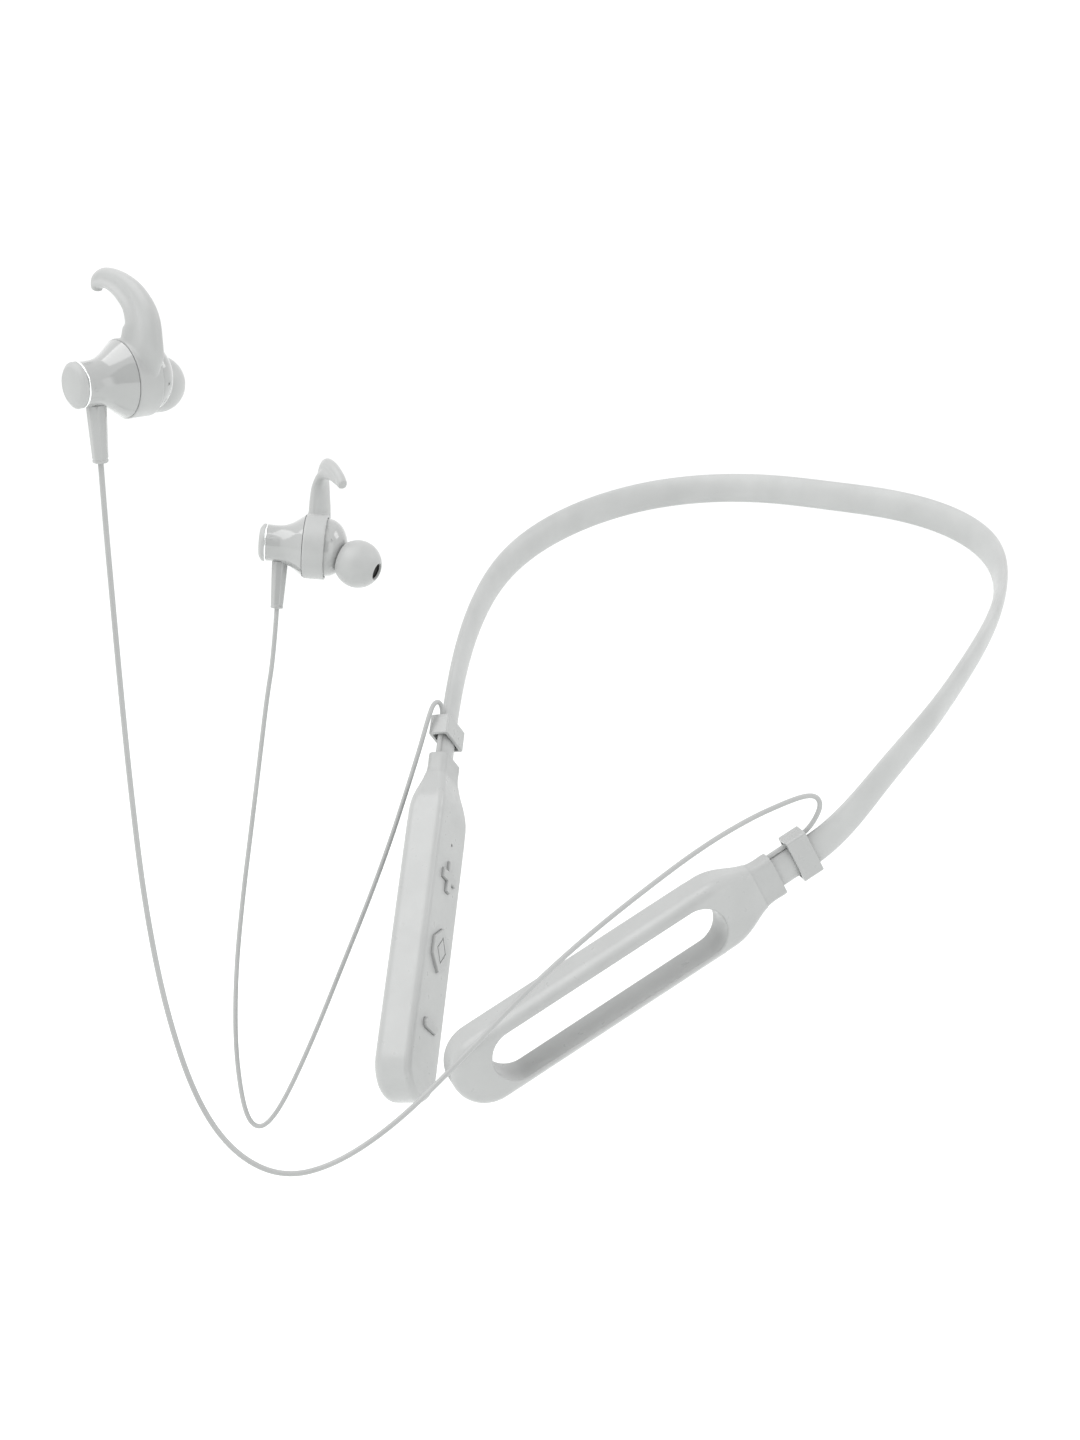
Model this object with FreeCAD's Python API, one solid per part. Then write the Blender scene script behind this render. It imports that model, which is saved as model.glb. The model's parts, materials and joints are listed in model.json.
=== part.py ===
import FreeCAD, Part
import math
import os
from FreeCAD import Matrix, Placement, Vector

# Neckband earphones, in millimetres, as they hang round a neck.
# +Z is up, -Y is the way the wearer faces, +X is the wearer's left.
# The origin is on the inner face of the strip, at the back of the neck.

# ---- driving dimensions -------------------------------------------------

# flexible strip round the neck
STRIP_WIDTH = 8.4
STRIP_THICKNESS = 3.2
STRIP_BURIED = 5.0              # length held inside each module's collar
STRIP_STEPS = 64                # even steps in which its cross-section is laid out
BACK_ROLL = 9.0                 # degrees that the top edge leans to the neck
MEMORY_WIRE_RADIUS = 0.6
LINK_LEAD_RADIUS = 0.5
LEAD_OFFSET = 1.9               # link lead, below the memory wire
BORE_GAP = 0.05                 # radial room of a wire in the strip
POCKET_GAP = 0.12               # room of the strip's end in a collar

# the two modules at the ends of the strip
MODULE_LENGTH = 94.0
MODULE_HEIGHT = 19.0
MODULE_DEPTH = 10.4
OUTER_ROUND = 3.2               # edge radius on the face away from the neck
INNER_ROUND = 1.8               # edge radius on the face towards the neck
COLLAR_HEIGHT = 11.5
COLLAR_DEPTH = 5.6
COLLAR_ROUND = 1.8
COLLAR_LENGTH = 6.0
COLLAR_INSET = 0.12             # step that shows as the collar's seam
SHOULDER_END = 21.0
PARTING = -2.6                  # depth of the seam between the two shells
WALL = 1.3

# long opening through the left module
SLOT_WIDTH = 13.3
SLOT_START = 24.0               # centres of its two round ends
SLOT_END = 76.8
SLOT_OFFSET = -0.5
SLOT_EDGE = 0.5

# buttons on the right module's inner face
BUTTON_PITCH = 20.2
FIRST_BUTTON = 34.2
BUTTON_PROUD = 0.8
BUTTON_GAP = 0.15
BUTTON_FLANGE = 0.7
FLANGE_THICKNESS = 0.5
BUTTON_BAR = 2.5                # width of the plus and minus bars
BUTTON_SPAN = 8.2               # length of the plus and minus bars
FUNCTION_LENGTH = 12.0
FUNCTION_WIDTH = 9.4
MIC_HOLE = 25.0
MIC_HOLE_RADIUS = 0.45
BOARD_TOP = -1.2                # board face towards the buttons
BOARD_THICKNESS = 1.0
SWITCH_HEIGHT = 1.2

# clip that holds each cable on the strip
CLIP_LENGTH = 5.6
CLIP_START = -10.8
CLIP_WALL = 0.9
CLIP_GAP = 0.25

# cables and earbuds
CABLE_DIAMETER = 1.25
CABLE_HEIGHT = 4.85             # cable's place above the strip's middle
CAP_RADIUS = 4.95
CAP_LENGTH = 1.6
RING_LENGTH = 0.4
BODY_RADIUS = 8.3
SLEEVE_RADIUS = 8.6
SEAT_RADIUS = 7.7
SLEEVE_GAP = 0.1
SLEEVE_START = 11.8
SLEEVE_LENGTH = 5.8
DOME_LENGTH = 5.6
NOZZLE_RADIUS = 2.9
NOZZLE_BORE = 2.1
NOZZLE_LENGTH = 15.5
TIP_RADIUS = 6.3
TIP_CENTRE = 13.0
RELIEF_AXIS = 5.6
RELIEF_TOP = 4.2
RELIEF_BOTTOM = 17.2

# Middle line of each arm of the strip, from the back of the neck forwards.
# The strip is springy, so at rest the two arms differ a little.
BACK = Vector(0.0, STRIP_THICKNESS / 2, 0.0)
LEFT_ARM = [(19.2, 2.7, -0.4), (38.1, 1.0, -3.0), (54.2, -7.8, -8.4), (64.0, -22.2, -16.2),
            (68.4, -38.5, -25.3), (69.4, -55.0, -35.3), (68.3, -70.8, -46.2), (64.4, -85.8, -58.8)]
RIGHT_ARM = [(-19.2, 1.5, -0.3), (-38.1, -1.6, -2.1), (-54.7, -10.3, -6.0), (-66.3, -24.3, -11.9),
             (-71.6, -41.3, -18.8), (-71.3, -59.1, -26.2), (-67.2, -75.9, -34.6), (-61.5, -91.0, -45.0)]

# Cable routes, from the collar to the end of the earbud's strain relief.
LEFT_ROUTE = [(47.6, -112.1, -79.3), (50.6, -108.6, -76.1), (54.0, -104.5, -72.5),
              (56.5, -103.5, -66.5), (56.0, -104.5, -63.5), (54.0, -107.0, -63.0),
              (50.5, -112.0, -65.0), (46.0, -121.0, -68.5), (40.0, -133.0, -75.0),
              (33.0, -147.5, -85.0), (27.0, -162.5, -95.0), (20.5, -176.5, -107.0),
              (15.0, -190.5, -120.0), (8.0, -204.0, -133.5), (0.5, -215.5, -142.0),
              (-7.0, -224.5, -144.5), (-15.4, -231.5, -139.3), (-23.2, -236.1, -127.7),
              (-31.4, -238.3, -108.2), (-38.2, -239.1, -85.6), (-44.7, -238.1, -61.6),
              (-50.4, -236.9, -38.9), (-55.1, -235.7, -19.9), (-57.5, -236.2, -4.2),
              (-57.5, -238.3, 8.6)]
RIGHT_ROUTE = [(-48.6, -118.4, -69.8), (-50.4, -115.5, -65.5), (-52.4, -112.0, -60.5),
               (-53.4, -112.3, -57.5), (-53.6, -115.0, -57.5), (-53.2, -117.6, -61.5),
               (-53.0, -120.4, -68.5), (-53.3, -124.8, -80.0), (-53.8, -130.0, -93.5),
               (-55.0, -136.0, -108.5), (-57.3, -142.5, -125.5), (-59.5, -149.0, -142.5),
               (-61.8, -154.8, -156.5), (-64.0, -158.2, -164.5), (-66.4, -160.7, -168.2),
               (-69.4, -162.1, -167.0), (-72.2, -162.6, -160.5), (-76.0, -161.8, -147.1),
               (-80.0, -158.4, -129.7), (-83.0, -153.8, -110.9), (-86.0, -148.0, -90.6),
               (-89.2, -142.2, -71.1), (-91.5, -138.3, -59.5), (-92.4, -135.5, -49.2),
               (-92.8, -134.8, -36.2)]


# ---- frames -------------------------------------------------------------

class Frame:
    """A local frame: origin, and unit axes x, y and z = x cross y."""

    def __init__(self, origin, x_axis, y_hint):
        self.origin = Vector(origin)
        self.x = Vector(x_axis).normalize()
        y_hint = Vector(y_hint)
        self.y = (y_hint - self.x * self.x.dot(y_hint)).normalize()
        self.z = self.x.cross(self.y)

    def point(self, x, y, z):
        return self.origin + self.x * x + self.y * y + self.z * z

    def place(self, shape):
        o, x, y, z = self.origin, self.x, self.y, self.z
        matrix = Matrix(x.x, y.x, z.x, o.x, x.y, y.y, z.y, o.y, x.z, y.z, z.z, o.z, 0, 0, 0, 1)
        placed = shape.copy()
        placed.Placement = Placement(matrix).multiply(placed.Placement)
        return placed


# Module frames: x from the collar to the tip, y up the tall side. Designed
# with +z away from the neck, so the left module is mirrored in z.
LEFT_MODULE = Frame((49.1, -109.8, -83.3), (-0.541, -0.626, -0.562), (-0.299, -0.481, 0.824))
RIGHT_MODULE = Frame((-49.1, -114.5, -72.7), (0.315, -0.533, -0.785), (0.089, -0.807, 0.584))

# Earbud frames: x from the cap to the ear, y up along the strain relief.
LEFT_BUD = Frame((-58.89, -246.5, 24.66), (0.257, 0.9533, 0.1587), (0.001, -0.1645, 0.9864))
RIGHT_BUD = Frame((-97.92, -136.99, -19.04), (0.8343, 0.5513, -0.0066), (-0.0277, 0.0537, 0.9982))
LEFT_NOZZLE = Vector(0.792, -0.277, -0.543).normalize()
RIGHT_NOZZLE = Vector(0.912, -0.257, 0.318).normalize()

# Hook of each ear wing, from inside its band to the tip: lean towards the
# ear, y and z in the earbud's frame, width and thickness. The two mirror
# each other, but the right one is bent further towards the ear.
LEFT_HOOK = [(0.0, 0.5, 4.6, 7.6, 2.6), (0.0, 5.4, 4.8, 11.6, 4.8), (0.0, 9.0, 5.4, 11.0, 4.8),
             (0.3, 12.9, 5.2, 9.5, 4.5), (0.6, 16.6, 2.2, 7.5, 4.0), (0.9, 18.9, -2.5, 6.0, 3.6),
             (1.1, 20.0, -7.2, 4.9, 3.3), (1.3, 20.0, -11.0, 4.3, 3.1), (1.4, 19.0, -13.8, 3.5, 2.9),
             (1.5, 17.2, -14.6, 2.6, 2.4)]
RIGHT_HOOK = [(0.0, 0.5, -3.6, 8.0, 2.6), (0.0, 5.0, -3.6, 11.6, 4.8), (0.0, 9.0, -3.2, 11.0, 4.8),
              (-0.2, 13.5, -2.6, 9.5, 4.5), (-0.1, 17.6, -0.9, 7.5, 4.0), (1.1, 20.6, 2.9, 6.0, 3.6),
              (3.4, 20.4, 6.6, 4.9, 3.3), (5.7, 18.7, 10.0, 3.8, 2.9), (7.0, 17.2, 11.9, 2.6, 2.4)]
HOOK_TILT = 0.25                # how far the hook's outer edge turns to the ear

PARTS = {}


def keep(name, shape):
    """Store one node's shape after checking that it is sound."""
    if not shape.isValid() or shape.Volume <= 0:
        raise ValueError(name + " is not a valid solid")
    PARTS[name] = shape


def box(x0, x1, y0, y1, z0, z1):
    return Part.makeBox(x1 - x0, y1 - y0, z1 - z0, Vector(x0, y0, z0))


def cylinder(radius, start, end):
    start, end = Vector(start), Vector(end)
    return Part.makeCylinder(radius, (end - start).Length, start, end - start)


def revolved(profile):
    """Solid of revolution about x of a closed (x, radius) polygon or edge list."""
    if isinstance(profile[0], tuple):
        points = [Vector(x, r, 0) for x, r in profile]
        wire = Part.makePolygon(points + points[:1])
    else:
        wire = Part.Wire(Part.__sortEdges__(profile))
    return Part.Face(wire).revolve(Vector(0, 0, 0), Vector(1, 0, 0), 360)


def line(x0, r0, x1, r1):
    return Part.makeLine(Vector(x0, r0, 0), Vector(x1, r1, 0))


def curve(points):
    spline = Part.BSplineCurve()
    spline.interpolate([Vector(x, r, 0) for x, r in points])
    return spline.toShape()


# ---- strip --------------------------------------------------------------

def strip_sections():
    """Centre, upward axis and tangent at even steps, from the right end to the left."""
    points = [BACK]
    for arm, module in ((RIGHT_ARM, RIGHT_MODULE), (LEFT_ARM, LEFT_MODULE)):
        straight = [module.point(x, 0, 0) for x in (-12.0, -6.0, 0.0, STRIP_BURIED)]
        points = list(reversed(points + [Vector(*p) for p in arm] + straight))
    spline = Part.BSplineCurve()
    spline.interpolate(list(reversed(points)))
    start, middle, end = spline.FirstParameter, spline.parameter(BACK), spline.LastParameter
    straight_start = spline.parameter(RIGHT_MODULE.point(-12.0, 0, 0))
    straight_end = spline.parameter(LEFT_MODULE.point(-12.0, 0, 0))
    step = spline.length(start, end) / STRIP_STEPS
    sections = []
    for i in range(STRIP_STEPS + 1):
        parameter = spline.parameterAtDistance(i * step, start)
        tangent = spline_tangent(spline, parameter)
        if parameter <= middle:
            module, limit = RIGHT_MODULE, straight_start
        else:
            module, limit = LEFT_MODULE, straight_end
        if straight_start < parameter < straight_end:
            end_roll = roll_angle(up_axis(spline, limit), module.y, spline_tangent(spline, limit))
            share = span(spline, middle, parameter) / span(spline, middle, limit)
            roll = -BACK_ROLL + (end_roll + BACK_ROLL) * share ** 2
            up = turned(up_axis(spline, parameter), tangent, roll)
        else:
            up = (module.y - tangent * tangent.dot(module.y)).normalize()
        sections.append((spline.value(parameter), up, tangent))
    return sections


def span(spline, first, second):
    """Length of the spline between two parameters given in either order."""
    if first == second:
        return 0.0
    return spline.length(min(first, second), max(first, second))


def spline_tangent(spline, parameter):
    """Unit tangent, pointing from the right arm to the left."""
    return Vector(*spline.tangent(parameter)[0]).normalize()


def up_axis(spline, parameter):
    tangent = spline_tangent(spline, parameter)
    up = Vector(0, 0, 1)
    return (up - tangent * tangent.dot(up)).normalize()


def turned(axis, about, degrees):
    return FreeCAD.Rotation(about, degrees).multVec(axis)


def roll_angle(start, end, about):
    """Signed angle in degrees from start to end round about."""
    return math.degrees(math.atan2(about.dot(start.cross(end)), start.dot(end)))


def strip_tube(sections, width, thickness, offset=0.0, extra=0.0):
    """Oval or round tube along the strip, moved down its height, with longer ends."""
    first, last = sections[0], sections[-1]
    centres = [centre for centre, up, tangent in sections]
    tops = [centre + up * STRIP_WIDTH for centre, up, tangent in sections]
    if extra:
        centres = [centres[0] - first[2] * extra] + centres + [centres[-1] + last[2] * extra]
        tops = [tops[0] - first[2] * extra] + tops + [tops[-1] + last[2] * extra]
    up, tangent = first[1], first[2]
    middle = centres[0] - up * offset
    if width > thickness:
        edge = tangent.cross(up) * (thickness / 2)
        ring = Part.Ellipse(middle + up * (width / 2), middle + edge, middle)
    else:
        ring = Part.Circle(middle, tangent, width / 2)
    sweep = Part.BRepOffsetAPI.MakePipeShell(spline_wire(centres))
    sweep.setAuxiliarySpine(spline_wire(tops), False, 0)
    sweep.add(Part.Wire(ring.toShape()))
    sweep.build()
    sweep.makeSolid()
    return sweep.shape()


def spline_wire(points):
    spline = Part.BSplineCurve()
    spline.interpolate(points)
    return Part.Wire(spline.toShape())


def make_strip():
    sections = strip_sections()
    strip = strip_tube(sections, STRIP_WIDTH, STRIP_THICKNESS)
    for name, radius, offset in (("memory_wire", MEMORY_WIRE_RADIUS, 0.0),
                                 ("link_lead", LINK_LEAD_RADIUS, LEAD_OFFSET)):
        bore = 2 * (radius + BORE_GAP)
        strip = strip.cut(strip_tube(sections, bore, bore, offset, 1.0))
        keep(name, strip_tube(sections, 2 * radius, 2 * radius, offset))
    keep("neck_strip", strip)


# ---- modules ------------------------------------------------------------

def rounded_section(x, height, depth, outer_round, inner_round):
    """Closed wire across x: outer corners (+z) and inner corners (-z) rounded."""
    y, z = height / 2, depth / 2
    corners = [(y, z, outer_round), (-y, z, outer_round), (-y, -z, inner_round), (y, -z, inner_round)]
    edges = []
    previous = None
    first = None
    for cy, cz, r in corners:
        sy, sz = math.copysign(1, cy), math.copysign(1, cz)
        along_y = Vector(x, cy - sy * r, cz)
        along_z = Vector(x, cy, cz - sz * r)
        diagonal = Vector(x, cy - sy * r * (1 - math.sqrt(0.5)), cz - sz * r * (1 - math.sqrt(0.5)))
        start, end = (along_z, along_y) if sy * sz > 0 else (along_y, along_z)
        if previous is None:
            first = start
        else:
            edges.append(Part.makeLine(previous, start))
        edges.append(Part.Arc(start, diagonal, end).toShape())
        previous = end
    edges.append(Part.makeLine(previous, first))
    return Part.Wire(edges)


# distance from the collar, share of the growth from collar to body
SHOULDER = [(0.0, 0.0), (3.0, 0.0), (5.5, 0.06), (8.5, 0.30), (11.5, 0.63), (14.5, 0.88),
            (17.5, 0.98), (21.0, 1.0)]


def module_form(inset):
    """Outer form of a module, shrunk all round by inset."""
    wires = []
    for x, share in SHOULDER:
        height = COLLAR_HEIGHT + (MODULE_HEIGHT - COLLAR_HEIGHT) * share - 2 * inset
        depth = COLLAR_DEPTH + (MODULE_DEPTH - COLLAR_DEPTH) * share - 2 * inset
        outer = max(COLLAR_ROUND + (OUTER_ROUND - COLLAR_ROUND) * share - inset, 0.4)
        inner = max(COLLAR_ROUND + (INNER_ROUND - COLLAR_ROUND) * share - inset, 0.4)
        wires.append(rounded_section(x, height, depth, outer, inner))
    shoulder = Part.makeLoft(wires, True, False)
    radius = MODULE_HEIGHT / 2 - inset
    depth = MODULE_DEPTH - 2 * inset
    end = MODULE_LENGTH - MODULE_HEIGHT / 2
    barrel = stadium(0.0, end, 0.0, radius, -depth / 2, depth / 2)
    barrel = rounded_rim(barrel, depth / 2, max(OUTER_ROUND - inset, 0.4))
    barrel = rounded_rim(barrel, -depth / 2, max(INNER_ROUND - inset, 0.4))
    barrel = barrel.common(box(SHOULDER_END, MODULE_LENGTH + 5, -30, 30, -20, 20))
    return shoulder.fuse(barrel).removeSplitter()


def stadium(x0, x1, y, radius, z0, z1):
    """Upright prism with straight sides and a round end at x0 and x1."""
    edges = [Part.makeLine(Vector(x0, y - radius, z0), Vector(x1, y - radius, z0)),
             Part.Arc(Vector(x1, y - radius, z0), Vector(x1 + radius, y, z0),
                      Vector(x1, y + radius, z0)).toShape(),
             Part.makeLine(Vector(x1, y + radius, z0), Vector(x0, y + radius, z0)),
             Part.Arc(Vector(x0, y + radius, z0), Vector(x0 - radius, y, z0),
                      Vector(x0, y - radius, z0)).toShape()]
    return Part.Face(Part.Wire(edges)).extrude(Vector(0, 0, z1 - z0))


def rounded_rim(shape, z, radius):
    """Round every edge that lies in the plane at height z."""
    edges = [e for e in shape.Edges
             if abs(e.BoundBox.ZMin - z) < 1e-6 and abs(e.BoundBox.ZMax - z) < 1e-6]
    return shape.makeFillet(radius, edges)


def strip_pocket():
    """Room for the strip's end inside a collar."""
    top = Vector(0, STRIP_WIDTH / 2 + POCKET_GAP, 0)
    side = Vector(0, 0, STRIP_THICKNESS / 2 + POCKET_GAP)
    ring = Part.Ellipse(top, side, Vector(0, 0, 0))
    return Part.Face(Part.Wire(ring.toShape())).extrude(Vector(STRIP_BURIED, 0, 0))


def wire_passage(x0, x1):
    return box(x0, x1, -LEAD_OFFSET - 1.2, 1.4, -1.0, 1.0)


def make_collar(name, place):
    collar = module_form(COLLAR_INSET).common(box(0, COLLAR_LENGTH, -30, 30, -20, 20))
    collar = collar.cut(strip_pocket()).cut(wire_passage(STRIP_BURIED - 0.01, COLLAR_LENGTH + 0.1))
    keep(name, place(collar))


def shell_halves(shell):
    beyond = MODULE_LENGTH + 5
    outer = shell.common(box(COLLAR_LENGTH, beyond, -30, 30, PARTING, 20))
    inner = shell.common(box(COLLAR_LENGTH, beyond, -30, 30, -20, PARTING))
    return outer, inner


def button_outlines():
    """Name, x place and outline function of each button."""
    places = [FIRST_BUTTON + BUTTON_PITCH * i for i in range(3)]
    return [("volume_up_button", places[0], plus_outline),
            ("function_button", places[1], hexagon_outline),
            ("volume_down_button", places[2], minus_outline)]


def plus_outline(x, grow, z0, z1):
    half, arm = BUTTON_SPAN / 2 + grow, BUTTON_BAR / 2 + grow
    bar = box(x - half, x + half, -arm, arm, z0, z1)
    return bar.fuse(box(x - arm, x + arm, -half, half, z0, z1)).removeSplitter()


def minus_outline(x, grow, z0, z1):
    half, arm = BUTTON_SPAN / 2 - BUTTON_BAR / 2, BUTTON_BAR / 2 + grow
    prism = stadium(-half, half, 0, arm, z0, z1)
    prism.rotate(Vector(0, 0, 0), Vector(0, 0, 1), 90)
    prism.translate(Vector(x, 0, 0))
    return prism


def hexagon_outline(x, grow, z0, z1):
    half, side, waist = FUNCTION_LENGTH / 2 + grow, FUNCTION_WIDTH / 2 + grow, FUNCTION_LENGTH / 5
    corners = [(half, 0), (waist, side), (-waist, side), (-half, 0), (-waist, -side), (waist, -side)]
    points = [Vector(x + a, b, z0) for a, b in corners]
    return Part.Face(Part.makePolygon(points + points[:1])).extrude(Vector(0, 0, z1 - z0))


def diamond_groove(x, z0, depth):
    """Thin engraved diamond line on the function button."""
    outlines = []
    for scale in (0.62, 0.50):
        half, side = FUNCTION_LENGTH / 2 * scale, FUNCTION_WIDTH / 2 * scale
        points = [Vector(x + a, b, z0) for a, b in ((half, 0), (0, side), (-half, 0), (0, -side))]
        outlines.append(Part.Face(Part.makePolygon(points + points[:1])).extrude(Vector(0, 0, depth)))
    return outlines[0].cut(outlines[1])


def make_buttons(place):
    face = -MODULE_DEPTH / 2
    ceiling = face + WALL
    for name, x, outline in button_outlines():
        top = face - BUTTON_PROUD
        button = outline(x, 0.0, top, ceiling + 0.2)
        edges = [e for e in button.Edges if abs(e.BoundBox.ZMax - top) < 1e-6]
        button = button.makeFillet(0.3, edges)
        if name == "function_button":
            button = button.cut(diamond_groove(x, top - 0.05, 0.3))
        button = button.fuse(outline(x, BUTTON_FLANGE, ceiling + 0.05, ceiling + 0.05 + FLANGE_THICKNESS))
        stem_start = ceiling + FLANGE_THICKNESS
        button = button.fuse(cylinder(0.8, (x, 0, stem_start), (x, 0, BOARD_TOP - SWITCH_HEIGHT - 0.35)))
        keep(name, place(button.removeSplitter()))


def make_control_module(place):
    form = module_form(0.0)
    cavity = module_form(WALL).common(box(COLLAR_LENGTH + WALL, MODULE_LENGTH, -30, 30, -20, 20))
    shell = form.cut(cavity).cut(wire_passage(COLLAR_LENGTH - 0.1, COLLAR_LENGTH + WALL + 0.1))
    outer, inner = shell_halves(shell)
    board_back = BOARD_TOP + BOARD_THICKNESS
    roof = MODULE_DEPTH / 2 - WALL
    for x in (13.0, 84.0):
        boss = cylinder(1.7, (x, 0, board_back), (x, 0, roof + 0.3))
        outer = outer.fuse(boss).cut(cylinder(0.62, (x, 0, board_back - 0.1), (x, 0, board_back + 2.6)))
    port_x = 72.0
    outer = outer.cut(box(port_x - 4.1, port_x + 4.1, -12, -7.5, -0.15, 2.65))
    keep("control_outer_shell", place(outer.removeSplitter()))
    face = -MODULE_DEPTH / 2
    for _, x, outline in button_outlines():
        inner = inner.cut(outline(x, BUTTON_GAP, face - 1, face + WALL + 1))
    inner = inner.cut(cylinder(MIC_HOLE_RADIUS, (MIC_HOLE, 0, face - 1), (MIC_HOLE, 0, face + WALL + 1)))
    keep("control_inner_cover", place(inner.removeSplitter()))
    make_electronics(place, board_back, port_x)


def make_electronics(place, board_back, port_x):
    board = stadium(16.0, 80.0, 0, 7.2, BOARD_TOP, board_back).common(box(10.5, 87.0, -8, 8, -5, 5))
    for x in (13.0, 84.0):
        board = board.cut(cylinder(0.75, (x, 0, BOARD_TOP - 1), (x, 0, board_back + 1)))
    keep("circuit_board", place(board))
    screws = []
    for x in (13.0, 84.0):
        head = cylinder(1.2, (x, 0, BOARD_TOP - 0.6), (x, 0, BOARD_TOP))
        screws.append(head.fuse(cylinder(0.6, (x, 0, BOARD_TOP), (x, 0, board_back + 2.4))))
    keep("board_screws", place(Part.makeCompound(screws)))
    switches = []
    for _, x, _ in button_outlines():
        body = box(x - 2.0, x + 2.0, -1.8, 1.8, BOARD_TOP - SWITCH_HEIGHT + 0.3, BOARD_TOP)
        plunger = cylinder(1.0, (x, 0, BOARD_TOP - SWITCH_HEIGHT), (x, 0, BOARD_TOP - 0.5))
        switches.append(body.fuse(plunger))
    keep("button_switches", place(Part.makeCompound(switches)))
    keep("microphone", place(box(MIC_HOLE - 1.5, MIC_HOLE + 1.5, -1.2, 1.2, BOARD_TOP - 1.0, BOARD_TOP)))
    battery = box(18.0, 62.0, -6.4, 6.4, board_back + 0.2, MODULE_DEPTH / 2 - WALL - 0.25)
    long_edges = [e for e in battery.Edges if abs(e.tangentAt(0).x) > 0.9]
    keep("battery_cell", place(battery.makeFillet(1.0, long_edges)))
    socket = box(port_x - 3.8, port_x + 3.8, -8.0, -2.6, board_back, board_back + 2.5)
    opening = box(port_x - 3.4, port_x + 3.4, -8.1, -3.2, board_back + 0.35, board_back + 2.15)
    keep("charging_socket", place(socket.cut(opening)))


def make_slot_module(place):
    form = module_form(0.0)
    half = MODULE_DEPTH / 2
    radius = SLOT_WIDTH / 2
    form = form.cut(stadium(SLOT_START, SLOT_END, SLOT_OFFSET, radius, -half - 1, half + 1))
    rims = []
    for edge in form.Edges:
        bounds = edge.BoundBox
        flat = bounds.ZLength < 1e-6 and abs(abs(bounds.ZMin) - half) < 1e-6
        inside = bounds.YMax < radius + SLOT_OFFSET + 0.01 and bounds.YMin > SLOT_OFFSET - radius - 0.01
        beside = bounds.XMin > SLOT_START - radius - 0.1 and bounds.XMax < SLOT_END + radius + 0.1
        if flat and inside and beside:
            rims.append(edge)
    form = form.makeFillet(SLOT_EDGE, rims)
    pocket = box(COLLAR_LENGTH + WALL, SLOT_START - radius - 1.6, -4.6, 4.6, -2.4, 2.4)
    shell = form.cut(pocket).cut(wire_passage(COLLAR_LENGTH - 0.1, COLLAR_LENGTH + WALL + 0.1))
    outer, inner = shell_halves(shell)
    keep("slot_outer_shell", place(outer))
    keep("slot_inner_cover", place(inner))
    keep("junction_board", place(box(9.0, SLOT_START - radius - 2.0, -4.2, 4.2, -1.6, -0.8)))


# ---- clips and cables ---------------------------------------------------

def make_clip(name, place):
    top = CABLE_HEIGHT + CABLE_DIAMETER / 2 + CLIP_GAP
    bottom = -STRIP_WIDTH / 2 - CLIP_GAP
    deep = STRIP_THICKNESS / 2 + CLIP_GAP
    end = CLIP_START + CLIP_LENGTH
    body = box(CLIP_START, end, bottom - CLIP_WALL, top + CLIP_WALL, -deep - CLIP_WALL, deep + CLIP_WALL)
    body = body.makeFillet(0.8, [e for e in body.Edges if abs(e.tangentAt(0).x) > 0.9])
    hole = box(CLIP_START - 1, end + 1, bottom, top, -deep, deep)
    hole = hole.makeFillet(0.5, [e for e in hole.Edges if abs(e.tangentAt(0).x) > 0.9])
    body = body.cut(hole)
    rims = [e for e in body.Edges if e.BoundBox.XLength < 1e-6 and outer_edge(e, bottom, top, deep)]
    keep(name, place(body.makeFillet(0.25, rims)))


def outer_edge(edge, bottom, top, deep):
    """True for an end edge of the clip's outside, not of its channel."""
    middle = edge.CenterOfMass
    return middle.y > top + 0.3 or middle.y < bottom - 0.3 or abs(middle.z) > deep + 0.3


def cable_path(points):
    """Straight runs joined by tangent arcs, with the arc radii."""
    points = [Vector(*p) for p in points]
    edges = []
    radii = []
    start = points[0]
    for before, corner, after in zip(points, points[1:], points[2:]):
        to_before = (before - corner).normalize()
        to_after = (after - corner).normalize()
        half_turn = (math.pi - to_before.getAngle(to_after)) / 2
        cut_back = 0.45 * min((before - corner).Length, (after - corner).Length)
        radius = cut_back / math.tan(half_turn)
        radii.append(radius)
        arc_start = corner + to_before * cut_back
        arc_end = corner + to_after * cut_back
        inward = (to_before + to_after).normalize()
        arc_middle = corner + inward * (radius / math.cos(half_turn) - radius)
        edges.append(Part.LineSegment(start, arc_start).toShape())
        edges.append(Part.Arc(arc_start, arc_middle, arc_end).toShape())
        start = arc_end
    edges.append(Part.LineSegment(start, points[-1]).toShape())
    return Part.Wire(edges), radii


def make_cable(name, points):
    path, radii = cable_path(points)
    direction = Vector(*points[1]) - Vector(*points[0])
    ring = Part.Circle(Vector(*points[0]), direction, CABLE_DIAMETER / 2)
    tube = path.makePipeShell([Part.Wire(ring.toShape())], True, False)
    expected = math.pi * (CABLE_DIAMETER / 2) ** 2 * path.Length
    print(name, "length %.1f mm, volume ratio %.4f" % (path.Length, tube.Volume / expected))
    print(name, "arc radii", [round(r, 1) for r in radii])
    keep(name, tube)


# ---- earbuds ------------------------------------------------------------

def tapered(profile_points, inner):
    """Hollow turned shell: smooth outer curve, stepped inner outline."""
    edges = [curve(profile_points)]
    chain = [profile_points[-1]] + inner + [profile_points[0]]
    edges += [line(*a, *b) for a, b in zip(chain, chain[1:])]
    return revolved(edges)


def nozzle_frame(nozzle):
    pivot = Vector(SLEEVE_START + SLEEVE_LENGTH / 2, 0, 0)
    return Frame(pivot, nozzle, (0, 1, 0))


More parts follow.
